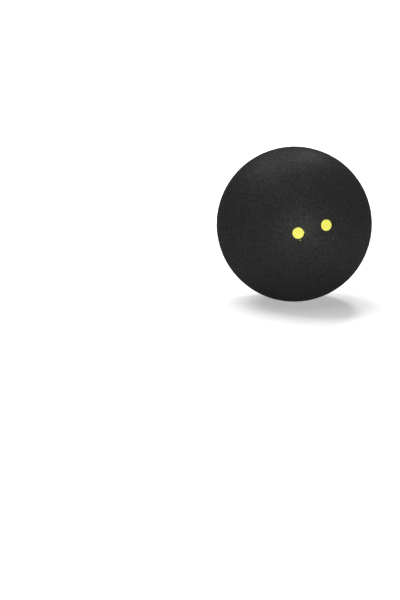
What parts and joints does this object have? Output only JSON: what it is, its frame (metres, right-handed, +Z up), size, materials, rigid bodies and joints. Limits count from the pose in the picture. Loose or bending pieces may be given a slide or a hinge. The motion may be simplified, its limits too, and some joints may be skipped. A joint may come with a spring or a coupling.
{
  "type": "squash ball",
  "caption": "Small hollow black rubber ball for racket play, cemented from moulded half shells, buffed matt and printed with yellow speed dots.",
  "frame": {"origin": "centre of the ball", "axes": "+Z up as the ball lies in the picture, -Y through the dotted half shell's pole, +X to the right seen from that side. The seam lies in the XZ plane."},
  "size_m": [0.04, 0.04, 0.04],
  "materials": {
    "rubber": "moulded rubber, buffed matt, with a fine grain",
    "cement": "cured rubber cement, buffed flush outside and smooth in the bead inside",
    "dot_ink": "thin flexible printing ink, satin"
  },
  "bodies": {
    "root": {"front_half_shell": "rubber", "rear_half_shell": "rubber", "seam_cement": "cement", "speed_dot_left": "dot_ink", "speed_dot_right": "dot_ink"}
  },
  "joints": []
}
